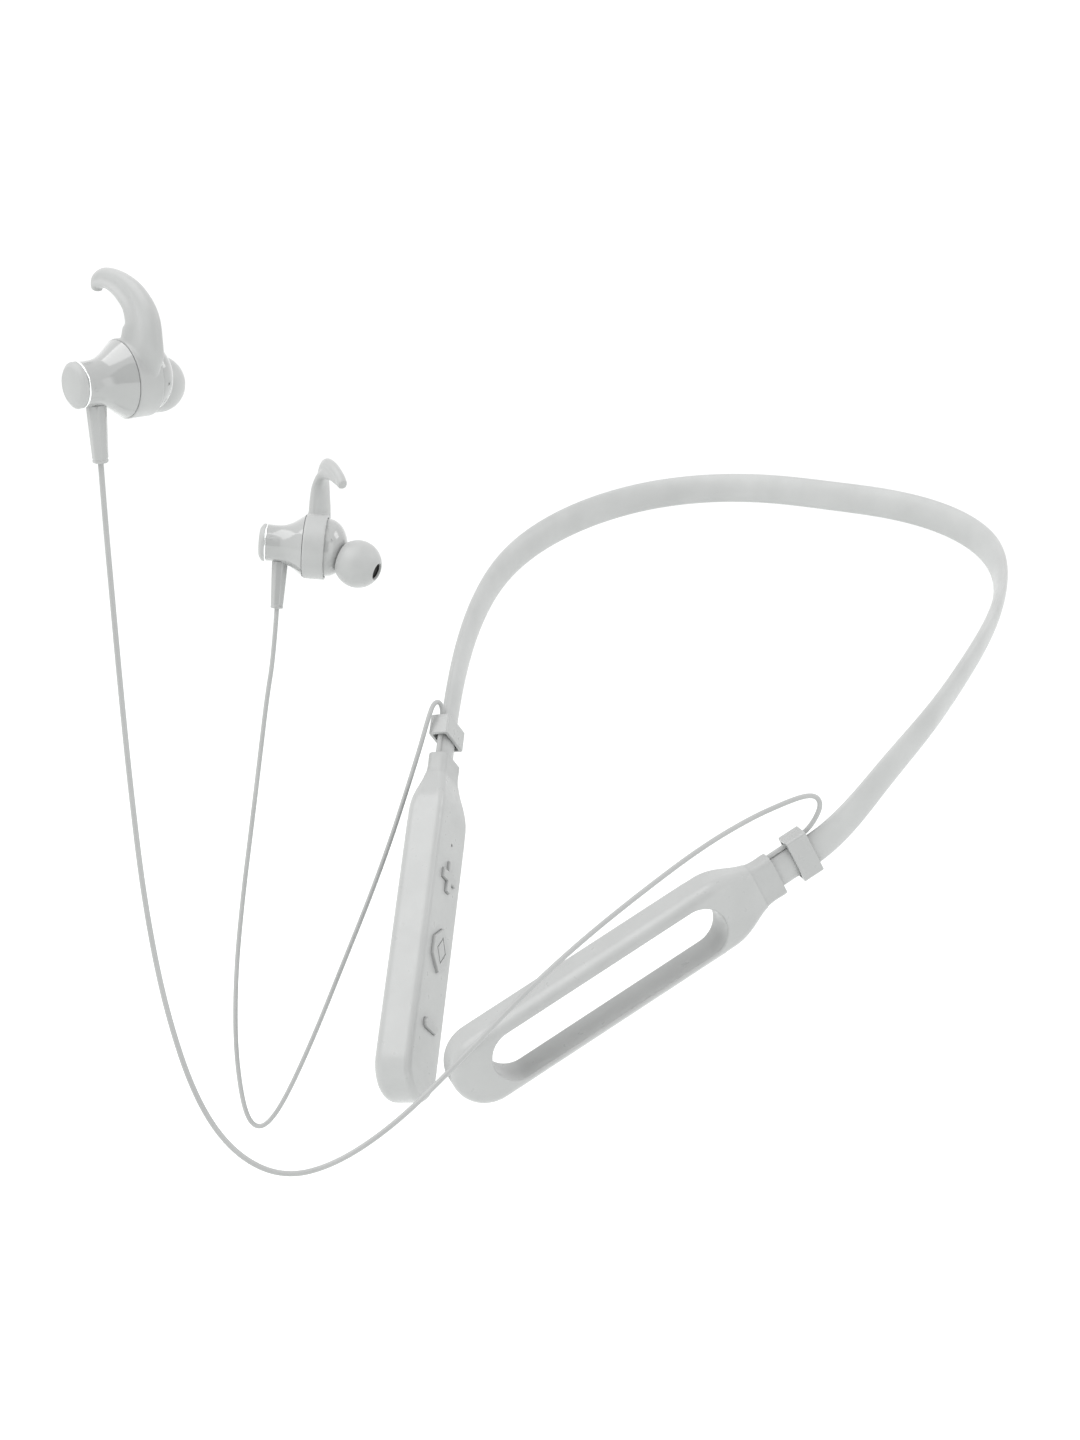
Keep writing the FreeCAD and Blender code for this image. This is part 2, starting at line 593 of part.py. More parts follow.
def make_bud(side, bud, nozzle, hook, hand):
    ring_end = CAP_LENGTH + RING_LENGTH
    sleeve_end = SLEEVE_START + SLEEVE_LENGTH
    tip_frame = nozzle_frame(nozzle)

    cap = revolved([(0, 0), (0, CAP_RADIUS - 0.8), (0.7, CAP_RADIUS), (CAP_LENGTH, CAP_RADIUS),
                    (CAP_LENGTH, 3.6), (ring_end + 0.8, 3.6), (ring_end + 0.8, 0)])
    keep(side + "_end_cap", bud.place(cap))

    ring = revolved([(CAP_LENGTH, 3.62), (CAP_LENGTH, CAP_RADIUS + 0.12), (ring_end, CAP_RADIUS + 0.12),
                     (ring_end, 3.62)])
    keep(side + "_trim_ring", bud.place(ring))

    rear = tapered([(ring_end, CAP_RADIUS - 0.05), (4.2, 4.85), (6.2, 5.06), (8.5, 6.0), (10.1, 7.1),
                    (SLEEVE_START, BODY_RADIUS)],
                   [(SLEEVE_START, SEAT_RADIUS - 0.9), (9.8, 5.6), (7.4, 4.0), (ring_end, 3.62)])
    socket = cylinder(1.75, (RELIEF_AXIS, -9, 0), (RELIEF_AXIS, -3.4, 0))
    keep(side + "_rear_housing", bud.place(rear.cut(socket)))

    dome = [(sleeve_end, SEAT_RADIUS), (sleeve_end + 1.6, SEAT_RADIUS - 0.25), (sleeve_end + 3.3, 6.4),
            (sleeve_end + 4.8, 4.2), (sleeve_end + DOME_LENGTH, 0.0)]
    wall = 0.9
    hollow = revolved([(SLEEVE_START - 1, 0), (SLEEVE_START - 1, SEAT_RADIUS - wall),
                       (sleeve_end, SEAT_RADIUS - wall), (sleeve_end + 2.4, 5.6),
                       (sleeve_end + 3.9, 2.7), (sleeve_end + DOME_LENGTH - wall, 0)])
    outside = revolved([curve(dome), line(sleeve_end + DOME_LENGTH, 0, SLEEVE_START, 0),
                        line(SLEEVE_START, 0, SLEEVE_START, SEAT_RADIUS),
                        line(SLEEVE_START, SEAT_RADIUS, sleeve_end, SEAT_RADIUS)])
    stem = tip_frame.place(cylinder(NOZZLE_RADIUS, (2.0, 0, 0), (NOZZLE_LENGTH, 0, 0)))
    bore = tip_frame.place(cylinder(NOZZLE_BORE, (1.0, 0, 0), (NOZZLE_LENGTH + 1, 0, 0)))
    front = outside.fuse(stem).cut(hollow).cut(bore).removeSplitter()
    keep(side + "_front_housing", bud.place(front))

    mesh = cylinder(NOZZLE_BORE - 0.01, (NOZZLE_LENGTH - 0.9, 0, 0), (NOZZLE_LENGTH - 0.6, 0, 0))
    keep(side + "_nozzle_mesh", bud.place(tip_frame.place(mesh)))

    make_driver(side, bud, sleeve_end)
    make_wing(side, bud, hook, hand, sleeve_end)
    make_ear_tip(side, bud, tip_frame)

    relief = cylinder(1.7, (RELIEF_AXIS, -RELIEF_TOP, 0), (RELIEF_AXIS, -3.5, 0))
    cone = Part.makeCone(2.15, 1.65, RELIEF_BOTTOM - 5.2, Vector(RELIEF_AXIS, -5.2, 0), Vector(0, -1, 0))
    relief = relief.fuse(cylinder(1.7, (RELIEF_AXIS, -5.3, 0), (RELIEF_AXIS, -RELIEF_TOP, 0))).fuse(cone)
    keep(side + "_strain_relief", bud.place(relief.cut(rear.cut(socket)).removeSplitter()))


def make_driver(side, bud, sleeve_end):
    back = SLEEVE_START + 0.6
    front = sleeve_end - 0.4
    outside = SEAT_RADIUS - 0.95
    frame = revolved([(back, 3.6), (back, outside), (front, outside), (front, outside - 0.6),
                      (back + 0.6, outside - 0.6), (back + 0.6, 3.6)])
    keep(side + "_driver_frame", bud.place(frame))
    magnet = revolved([(back, 0), (back, 3.58), (back + 2.8, 3.58), (back + 2.8, 0)])
    keep(side + "_driver_magnet", bud.place(magnet))
    rim = outside - 0.62
    film = revolved([curve([(front - 1.0, 0), (front - 1.4, 2.2), (front - 1.8, rim)]),
                     line(front - 1.8, rim, front - 1.6, rim),
                     curve([(front - 1.6, rim), (front - 1.2, 2.2), (front - 0.8, 0)]),
                     line(front - 0.8, 0, front - 1.0, 0)])
    keep(side + "_driver_diaphragm", bud.place(film))


def make_wing(side, bud, hook, hand, sleeve_end):
    """Rubber band with a tapering hook; hand is 1 or -1 for the side of its outer edge."""
    inner = SEAT_RADIUS + SLEEVE_GAP
    start = SLEEVE_START + 0.12
    middle = (start + sleeve_end) / 2
    band = revolved([(start, inner - 0.6), (start, SLEEVE_RADIUS), (sleeve_end - 0.4, SLEEVE_RADIUS),
                     (sleeve_end, SLEEVE_RADIUS - 0.4), (sleeve_end, inner - 0.6)])
    centres = [Vector(middle + lean, y, z) for lean, y, z, _, _ in hook]
    last = len(hook) - 1
    wires = []
    for i, centre in enumerate(centres):
        width, thickness = hook[i][3:]
        along = (centres[min(i + 1, last)] - centres[max(i - 1, 0)]).normalize()
        outward = Vector(1, 0, 0).cross(along).normalize() * hand
        tilted = outward + Vector(HOOK_TILT, 0, 0)
        major = (tilted - along * along.dot(tilted)).normalize()
        minor = along.cross(major)
        ring = Part.Ellipse(centre + major * (width / 2), centre + minor * (thickness / 2), centre)
        wires.append(Part.Wire(ring.toShape()))
    wing = Part.makeLoft(wires, True, False).fuse(band)
    wing = wing.cut(cylinder(inner, (start - 5, 0, 0), (sleeve_end + 5, 0, 0))).removeSplitter()
    keep(side + "_ear_wing", bud.place(wing))


def make_ear_tip(side, bud, tip_frame):
    """Hollow rubber mushroom round a stem that grips the nozzle."""
    front = TIP_CENTRE + math.sqrt(TIP_RADIUS ** 2 - 2.6 ** 2)
    seat = NOZZLE_RADIUS + 0.05
    rear = TIP_CENTRE - 4.4
    rim_radius = math.sqrt(TIP_RADIUS ** 2 - (TIP_CENTRE - rear) ** 2)
    skirt = 0.8
    inside = TIP_RADIUS - skirt
    dome = Part.Arc(Vector(front, 2.6, 0), Vector(TIP_CENTRE, TIP_RADIUS, 0),
                    Vector(rear, rim_radius, 0)).toShape()
    web = TIP_CENTRE + 3.4
    web_radius = math.sqrt(inside ** 2 - (web - TIP_CENTRE) ** 2)
    hollow_rim = math.sqrt(inside ** 2 - (TIP_CENTRE - rear) ** 2)
    inner_arc = Part.Arc(Vector(rear, hollow_rim, 0), Vector(TIP_CENTRE, inside, 0),
                         Vector(web, web_radius, 0)).toShape()
    chain = [(web, web_radius), (web, 3.8), (rear + 0.4, 3.8), (rear + 0.4, seat),
             (NOZZLE_LENGTH + 0.2, seat), (NOZZLE_LENGTH + 0.2, 2.3), (front, 2.3), (front, 2.6)]
    edges = [dome, line(rear, rim_radius, rear, hollow_rim), inner_arc]
    edges += [line(*a, *b) for a, b in zip(chain, chain[1:])]
    keep(side + "_ear_tip", bud.place(tip_frame.place(revolved(edges))))


# ---- assembly -----------------------------------------------------------

def in_right_module(shape):
    return RIGHT_MODULE.place(shape)


def in_left_module(shape):
    return LEFT_MODULE.place(shape.mirror(Vector(0, 0, 0), Vector(0, 0, 1)))


def main():
    os.makedirs("parts", exist_ok=True)
    make_strip()
    make_collar("control_collar", in_right_module)
    make_control_module(in_right_module)
    make_buttons(in_right_module)
    make_collar("slot_collar", in_left_module)
    make_slot_module(in_left_module)
    make_clip("right_clip", in_right_module)
    make_clip("left_clip", in_left_module)
    make_cable("left_cable", LEFT_ROUTE)
    make_cable("right_cable", RIGHT_ROUTE)
    make_bud("left", LEFT_BUD, LEFT_NOZZLE, LEFT_HOOK, 1)
    make_bud("right", RIGHT_BUD, RIGHT_NOZZLE, RIGHT_HOOK, -1)
    for name, shape in PARTS.items():
        shape.exportStep("parts/" + name + ".step")
    print(len(PARTS), "nodes")


main()
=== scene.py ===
"""Neckband earphones hanging as they are worn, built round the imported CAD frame."""
import json
import math

import bmesh
import bpy
import numpy as np
from mathutils import Matrix, Vector


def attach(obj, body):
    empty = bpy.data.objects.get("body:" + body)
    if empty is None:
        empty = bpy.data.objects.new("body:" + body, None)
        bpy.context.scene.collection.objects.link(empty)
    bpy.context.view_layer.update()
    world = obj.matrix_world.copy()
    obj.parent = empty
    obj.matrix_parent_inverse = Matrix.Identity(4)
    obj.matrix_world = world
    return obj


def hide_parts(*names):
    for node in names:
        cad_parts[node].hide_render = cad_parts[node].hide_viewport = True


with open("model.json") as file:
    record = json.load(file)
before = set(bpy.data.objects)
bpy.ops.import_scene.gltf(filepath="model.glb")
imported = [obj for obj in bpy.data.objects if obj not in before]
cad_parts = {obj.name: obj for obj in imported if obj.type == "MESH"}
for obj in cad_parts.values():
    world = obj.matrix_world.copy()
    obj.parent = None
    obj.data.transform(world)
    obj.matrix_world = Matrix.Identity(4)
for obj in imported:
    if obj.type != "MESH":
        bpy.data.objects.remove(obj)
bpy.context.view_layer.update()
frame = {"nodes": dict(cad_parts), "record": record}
nodes = frame["nodes"]
MM = 0.001

# The same local frames as the CAD source: origin in mm, x axis, and a hint for y.
FRAMES = {
    "left_module": ((49.1, -109.8, -83.3), (-0.541, -0.626, -0.562), (-0.299, -0.481, 0.824)),
    "right_module": ((-49.1, -114.5, -72.7), (0.315, -0.533, -0.785), (0.089, -0.807, 0.584)),
    "left_bud": ((-58.89, -246.5, 24.66), (0.257, 0.9533, 0.1587), (0.001, -0.1645, 0.9864)),
    "right_bud": ((-97.92, -136.99, -19.04), (0.8343, 0.5513, -0.0066), (-0.0277, 0.0537, 0.9982)),
}
NOZZLES = {"left": (0.792, -0.277, -0.543), "right": (0.912, -0.257, 0.318)}
SIDES = ("left", "right")

LEFT_ROUTE = [
    (0.0476, -0.1121, -0.0793), (0.0506, -0.1086, -0.0761), (0.0540, -0.1045, -0.0725),
    (0.0565, -0.1035, -0.0665), (0.0560, -0.1045, -0.0635), (0.0540, -0.1070, -0.0630),
    (0.0505, -0.1120, -0.0650), (0.0460, -0.1210, -0.0685), (0.0400, -0.1330, -0.0750),
    (0.0330, -0.1475, -0.0850), (0.0270, -0.1625, -0.0950), (0.0205, -0.1765, -0.1070),
    (0.0150, -0.1905, -0.1200), (0.0080, -0.2040, -0.1335), (0.0005, -0.2155, -0.1420),
    (-0.0070, -0.2245, -0.1445), (-0.0154, -0.2315, -0.1393), (-0.0232, -0.2361, -0.1277),
    (-0.0314, -0.2383, -0.1082), (-0.0382, -0.2391, -0.0856), (-0.0447, -0.2381, -0.0616),
    (-0.0504, -0.2369, -0.0389), (-0.0551, -0.2357, -0.0199), (-0.0575, -0.2362, -0.0042),
    (-0.0575, -0.2383, 0.0086),
]
RIGHT_ROUTE = [
    (-0.0486, -0.1184, -0.0698), (-0.0504, -0.1155, -0.0655), (-0.0524, -0.1120, -0.0605),
    (-0.0534, -0.1123, -0.0575), (-0.0536, -0.1150, -0.0575), (-0.0532, -0.1176, -0.0615),
    (-0.0530, -0.1204, -0.0685), (-0.0533, -0.1248, -0.0800), (-0.0538, -0.1300, -0.0935),
    (-0.0550, -0.1360, -0.1085), (-0.0573, -0.1425, -0.1255), (-0.0595, -0.1490, -0.1425),
    (-0.0618, -0.1548, -0.1565), (-0.0640, -0.1582, -0.1645), (-0.0664, -0.1607, -0.1682),
    (-0.0694, -0.1621, -0.1670), (-0.0722, -0.1626, -0.1605), (-0.0760, -0.1618, -0.1471),
    (-0.0800, -0.1584, -0.1297), (-0.0830, -0.1538, -0.1109), (-0.0860, -0.1480, -0.0906),
    (-0.0892, -0.1422, -0.0711), (-0.0915, -0.1383, -0.0595), (-0.0924, -0.1355, -0.0492),
    (-0.0928, -0.1348, -0.0362),
]
LEFT_ARM = [
    (0.0192, 0.0027, -0.0004), (0.0381, 0.0010, -0.0030), (0.0542, -0.0078, -0.0084),
    (0.0640, -0.0222, -0.0162), (0.0684, -0.0385, -0.0253), (0.0694, -0.0550, -0.0353),
    (0.0683, -0.0708, -0.0462), (0.0644, -0.0858, -0.0588),
]
RIGHT_ARM = [
    (-0.0192, 0.0015, -0.0003), (-0.0381, -0.0016, -0.0021), (-0.0547, -0.0103, -0.0060),
    (-0.0663, -0.0243, -0.0119), (-0.0716, -0.0413, -0.0188), (-0.0713, -0.0591, -0.0262),
    (-0.0672, -0.0759, -0.0346), (-0.0615, -0.0910, -0.0450),
]

# ---- frames and mesh helpers --------------------------------------------

def local_frame(origin, x_axis, y_hint):
    """4x4 matrix of a local frame given in mm, with z = x cross y."""
    x = Vector(x_axis).normalized()
    hint = Vector(y_hint)
    y = (hint - x * x.dot(hint)).normalized()
    z = x.cross(y)
    matrix = Matrix((x, y, z)).transposed().to_4x4()
    matrix.translation = Vector(origin) * MM
    return matrix


PLACES = {name: local_frame(*numbers) for name, numbers in FRAMES.items()}


def new_object(name, verts, faces, place=None, smooth_angle=35.0, keep_local=False):
    """Mesh object from vertices in mm, laid out in the frame called place.

    keep_local leaves the vertices in that frame, for a pattern that follows it.
    """
    mesh = bpy.data.meshes.new(name)
    mesh.from_pydata([[c * MM for c in v] for v in verts], [], faces)
    if place is not None and not keep_local:
        mesh.transform(place)
    bm = bmesh.new()
    bm.from_mesh(mesh)
    bmesh.ops.remove_doubles(bm, verts=bm.verts, dist=1e-7)
    bmesh.ops.recalc_face_normals(bm, faces=bm.faces)
    bm.to_mesh(mesh)
    bm.free()
    mesh.shade_smooth()
    mesh.set_sharp_from_angle(angle=math.radians(smooth_angle))
    obj = bpy.data.objects.new(name, mesh)
    bpy.context.scene.collection.objects.link(obj)
    if keep_local:
        obj.matrix_world = place
    return obj


def rings_to_mesh(rings):
    """Vertices and faces of a capped skin over rings with equal point counts."""
    count = len(rings[0])
    verts = [tuple(p) for ring in rings for p in ring]
    faces = []
    last = len(rings) - 1
    for i in range(last):
        a, b = i * count, (i + 1) * count
        for j in range(count):
            k = (j + 1) % count
            faces.append((a + j, a + k, b + k, b + j))
    faces.append(tuple(reversed(range(count))))
    faces.append(tuple(range(last * count, (last + 1) * count)))
    return verts, faces


def turned_solid(profile, segments=128):
    """Closed (x, radius) outline in mm, turned about x. Zero radii close on the axis."""
    verts, faces, index = [], [], []
    for x, r in profile:
        if r < 1e-6:
            index.append([len(verts)] * segments)
            verts.append((x, 0.0, 0.0))
        else:
            index.append(list(range(len(verts), len(verts) + segments)))
            for j in range(segments):
                angle = 2 * math.pi * j / segments
                verts.append((x, r * math.cos(angle), r * math.sin(angle)))
    count = len(profile)
    for i in range(count):
        a, b = index[i], index[(i + 1) % count]
        for j in range(segments):
            k = (j + 1) % segments
            face = []
            for v in (a[j], a[k], b[k], b[j]):
                if v not in face:
                    face.append(v)
            if len(face) > 2:
                faces.append(tuple(face))
    return verts, faces


def arc(centre, radius, start, end, steps):
    """(x, radius) points of an arc centred on the axis, angles in degrees from the x axis."""
    angles = [math.radians(start + (end - start) * i / steps) for i in range(steps + 1)]
    return [(centre + radius * math.cos(a), radius * math.sin(a)) for a in angles]


def smooth_curve(points, steps):
    """Dense points of a Catmull-Rom curve through the given points."""
    pts = [np.array(p, float) for p in points]
    pts = [2 * pts[0] - pts[1]] + pts + [2 * pts[-1] - pts[-2]]
    out = []
    for i in range(1, len(pts) - 2):
        p0, p1, p2, p3 = pts[i - 1:i + 3]
        for j in range(steps):
            t = j / steps
            out.append(0.5 * (2 * p1 + (p2 - p0) * t + (2 * p0 - 5 * p1 + 4 * p2 - p3) * t * t
                              + (3 * p1 - p0 - 3 * p2 + p3) * t ** 3))
    out.append(pts[-2])
    return out


# ---- materials ----------------------------------------------------------

def noise(tree, coords, scale, detail=2.0, roughness=0.5):
    node = tree.nodes.new("ShaderNodeTexNoise")
    node.inputs["Scale"].default_value = scale
    node.inputs["Detail"].default_value = detail
    node.inputs["Roughness"].default_value = roughness
    tree.links.new(coords, node.inputs["Vector"])
    return node.outputs["Fac"]


def remap(tree, value, low, high):
    node = tree.nodes.new("ShaderNodeMapRange")
    node.inputs["From Min"].default_value = 0.3
    node.inputs["From Max"].default_value = 0.7
    node.inputs["To Min"].default_value = low
    node.inputs["To Max"].default_value = high
    tree.links.new(value, node.inputs["Value"])
    return node.outputs["Result"]


def tint(tree, value, low, high):
    """Colour between two colours, driven by a noise value."""
    node = tree.nodes.new("ShaderNodeMix")
    node.data_type = "RGBA"
    node.inputs["A"].default_value = (*low, 1)
    node.inputs["B"].default_value = (*high, 1)
    tree.links.new(value, node.inputs["Factor"])
    return node.outputs["Result"]


def material(name, colour, rough, grain=0.25, depth=3e-6, mottle=0.05, rough_change=0.06,
             metallic=0.0, coat=0.0, coat_rough=0.06, sheen=0.0, specular=0.5, pattern=None):
    """Moulded or painted finish: grain is the surface texture's size in mm."""
    mat = bpy.data.materials.new(name)
    mat.use_nodes = True
    tree = mat.node_tree
    shader = tree.nodes["Principled BSDF"]
    shader.inputs["Metallic"].default_value = metallic
    shader.inputs["Specular IOR Level"].default_value = specular
    shader.inputs["Coat Weight"].default_value = coat
    shader.inputs["Coat Roughness"].default_value = coat_rough
    shader.inputs["Sheen Weight"].default_value = sheen
    shader.inputs["Sheen Roughness"].default_value = 0.5
    coords = tree.nodes.new("ShaderNodeTexCoord").outputs["Object"]
    broad = noise(tree, coords, 90.0, 3.0)
    fine = noise(tree, coords, 1000.0 / grain, 2.0, 0.6)
    low = [c * (1 - mottle) for c in colour]
    high = [min(c * (1 + mottle), 1.0) for c in colour]
    base = tint(tree, remap(tree, broad, 0.0, 1.0), low, high)
    tree.links.new(base, shader.inputs["Base Color"])
    change = remap(tree, noise(tree, coords, 400.0, 3.0), rough - rough_change, rough + rough_change)
    tree.links.new(change, shader.inputs["Roughness"])
    height = pattern(tree, coords) if pattern else fine
    bump = tree.nodes.new("ShaderNodeBump")
    bump.inputs["Strength"].default_value = 1.0
    bump.inputs["Distance"].default_value = depth
    tree.links.new(height, bump.inputs["Height"])
    tree.links.new(bump.outputs["Normal"], shader.inputs["Normal"])
    return mat


def grey(value):
    """Grey with the faint cool green cast of the product."""
    return (value * 0.985, value, value * 0.992)


def spun_pattern(tree, coords):
    """Fine concentric rings round the piece's own x axis."""
    split = tree.nodes.new("ShaderNodeSeparateXYZ")
    tree.links.new(coords, split.inputs["Vector"])
    join = tree.nodes.new("ShaderNodeCombineXYZ")
    tree.links.new(split.outputs["Y"], join.inputs["X"])
    tree.links.new(split.outputs["Z"], join.inputs["Y"])
    wave = tree.nodes.new("ShaderNodeTexWave")
    wave.wave_type = "RINGS"
    wave.rings_direction = "SPHERICAL"
    wave.inputs["Scale"].default_value = 2200.0
    wave.inputs["Distortion"].default_value = 1.5
    wave.inputs["Detail"].default_value = 2.0
    tree.links.new(join.outputs["Vector"], wave.inputs["Vector"])
    return wave.outputs["Fac"]


SHELL = material("shell_plastic", grey(0.385), 0.33, grain=0.22, depth=2.5e-6, mottle=0.03,
                 coat=0.15, coat_rough=0.2)
COLLAR = material("collar_rubber", grey(0.36), 0.42, grain=0.20, depth=5e-6, mottle=0.04, sheen=0.1)
STRIP = material("strip_silicone", grey(0.4), 0.45, grain=0.30, depth=7e-6, mottle=0.05, sheen=0.2)
BUTTON = material("button_rubber", grey(0.37), 0.38, grain=0.18, depth=3e-6, mottle=0.03)
CLIP = material("clip_plastic", grey(0.37), 0.30, grain=0.25, depth=3e-6, mottle=0.03, coat=0.2)
CABLE = material("cable_jacket", grey(0.36), 0.40, grain=0.15, depth=3e-6, mottle=0.04)
GLOSS = material("gloss_housing", grey(0.35), 0.12, grain=0.9, depth=2e-6, mottle=0.02,
                 rough_change=0.03, coat=0.8)
CAP = material("cap_paint", grey(0.39), 0.40, depth=2.5e-6, mottle=0.02, pattern=spun_pattern)
TRIM = material("polished_trim", grey(0.95), 0.14, grain=0.5, depth=1e-6, metallic=1.0,
                rough_change=0.04)
SILICONE = material("soft_silicone", grey(0.375), 0.42, grain=0.22, depth=6e-6, mottle=0.05, sheen=0.25)
MESH = material("mesh_steel", grey(0.018), 0.45, grain=0.3, depth=2e-6, metallic=0.3, specular=0.3)
SPRING = material("spring_steel", grey(0.55), 0.28, grain=0.2, depth=2e-6, metallic=1.0)
LEAD = material("lead_jacket", (0.45, 0.10, 0.08), 0.45, grain=0.2, depth=3e-6)
BOARD = material("board_laminate", (0.03, 0.16, 0.07), 0.45, grain=0.35, depth=5e-6, mottle=0.2)
SCREW = material("screw_steel", grey(0.5), 0.3, grain=0.15, depth=2e-6, metallic=1.0)
PARTS = material("component_metal", grey(0.4), 0.35, grain=0.3, depth=3e-6, metallic=0.8)
BATTERY = material("battery_wrap", (0.12, 0.2, 0.42), 0.38, grain=0.6, depth=6e-6, mottle=0.08)
DRIVER = material("driver_metal", grey(0.35), 0.32, grain=0.3, depth=3e-6, metallic=0.9)
FILM = material("driver_film", (0.62, 0.58, 0.48), 0.3, grain=0.5, depth=4e-6, mottle=0.06)

SLOT_FINISH = {
    "strip_silicone": STRIP, "spring_steel": SPRING, "lead_jacket": LEAD, "shell_plastic": SHELL,
    "collar_rubber": COLLAR, "button_rubber": BUTTON, "board_laminate": BOARD, "screw_steel": SCREW,
    "component_metal": PARTS, "battery_wrap": BATTERY, "clip_plastic": CLIP, "cable_jacket": CABLE,
    "cap_paint": CAP, "polished_trim": TRIM, "gloss_housing": GLOSS, "mesh_steel": MESH,
    "driver_metal": DRIVER, "driver_film": FILM, "soft_silicone": SILICONE,
}


def node_slots():
    """The material slot of each CAD node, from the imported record."""
    found = {}
    for entry in frame["record"]["subparts"]:
        found[entry["node"]] = entry["material_slot"]
    return found


for node, slot in node_slots().items():
    nodes[node].data.materials.clear()
    nodes[node].data.materials.append(SLOT_FINISH[slot])


def finish_piece(piece, body, slot, *replaced):
    """Give a piece its finish, its body and the CAD nodes that it stands for."""
    piece.data.materials.append(SLOT_FINISH[slot])
    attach(piece, body)
    if replaced:
        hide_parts(*replaced)


# ---- cables -------------------------------------------------------------

CABLE_DIAMETER = 0.00125


def make_cord(side, route):
    """One open NURBS spline on the route's points, hanging from collar to strain relief."""
    curve = bpy.data.curves.new(side + "_cord", "CURVE")
    curve.dimensions = "3D"
    spline = curve.splines.new("NURBS")
    spline.points.add(len(route) - 1)
    for point, place in zip(spline.points, route):
        point.co = (*place, 1.0)
    spline.order_u = 3
    spline.use_endpoint_u = True
    curve.resolution_u = 16
    curve.bevel_depth = CABLE_DIAMETER / 2
    curve.bevel_resolution = 5
    curve.use_fill_caps = True
    cord = bpy.data.objects.new(side + "_cord", curve)
    bpy.context.scene.collection.objects.link(cord)
    finish_piece(cord, "headset", "cable_jacket", side + "_cable")


make_cord("left", LEFT_ROUTE)
make_cord("right", RIGHT_ROUTE)

# ---- camera -------------------------------------------------------------

camera = bpy.data.objects.new("camera", bpy.data.cameras.new("camera"))
bpy.context.scene.collection.objects.link(camera)
camera.data.sensor_width = 36.0
camera.data.lens = 55.01
camera.data.clip_start = 0.05
camera.data.clip_end = 20.0
axes = Matrix(((0.8297, 0.5527, 0.0788), (-0.1714, 0.1178, 0.9781), (0.5313, -0.8250, 0.1924)))
camera.matrix_world = Matrix.Translation((0.28177, -0.58297, 0.05289)) @ axes.transposed().to_4x4()
bpy.context.scene.camera = camera

# ---- strip --------------------------------------------------------------

STRIP_WIDTH = 8.4
STRIP_THICKNESS = 3.2
STRIP_BURIED = 5.0              # length held inside each module's collar
BACK_ROLL = 9.0                 # degrees that the top edge leans to the neck
STRIP_RINGS = 300
STRIP_SIDES = 64
MOULD_LINE = 0.03               # how far the mould line stands out along both edges


class Spline:
    """Natural cubic spline through points in mm, with chord lengths as parameters."""

    def __init__(self, points):
        self.p = np.array(points, float)
        chords = np.linalg.norm(np.diff(self.p, axis=0), axis=1)
        self.t = np.concatenate(([0.0], np.cumsum(chords)))
        n = len(self.p)
        system = np.zeros((n, n))
        right = np.zeros((n, 3))
        system[0, 0] = system[-1, -1] = 1.0
        for i in range(1, n - 1):
            a, b = chords[i - 1], chords[i]
            system[i, i - 1:i + 2] = a, 2 * (a + b), b
            right[i] = 6 * ((self.p[i + 1] - self.p[i]) / b - (self.p[i] - self.p[i - 1]) / a)
        self.m = np.linalg.solve(system, right)

    def at(self, t):
        """Point and unit tangent at parameter t."""
        i = int(np.clip(np.searchsorted(self.t, t) - 1, 0, len(self.t) - 2))
        h = self.t[i + 1] - self.t[i]
        a, b = (self.t[i + 1] - t) / h, (t - self.t[i]) / h
        p, m = self.p, self.m
        point = a * p[i] + b * p[i + 1] + ((a ** 3 - a) * m[i] + (b ** 3 - b) * m[i + 1]) * h * h / 6
        slope = (p[i + 1] - p[i]) / h + ((3 * b * b - 1) * m[i + 1] - (3 * a * a - 1) * m[i]) * h / 6
        return point, slope / np.linalg.norm(slope)


def module_point(place, x):
    """Point on a module's axis, in mm."""
    return np.array(place @ Vector((x * MM, 0, 0))) / MM


def upward(tangent):
    up = np.array((0.0, 0.0, 1.0)) - tangent * tangent[2]
    return up / np.linalg.norm(up)


def turned_about(v, axis, angle):
    return (v * math.cos(angle) + np.cross(axis, v) * math.sin(angle)
            + axis * axis.dot(v) * (1 - math.cos(angle)))


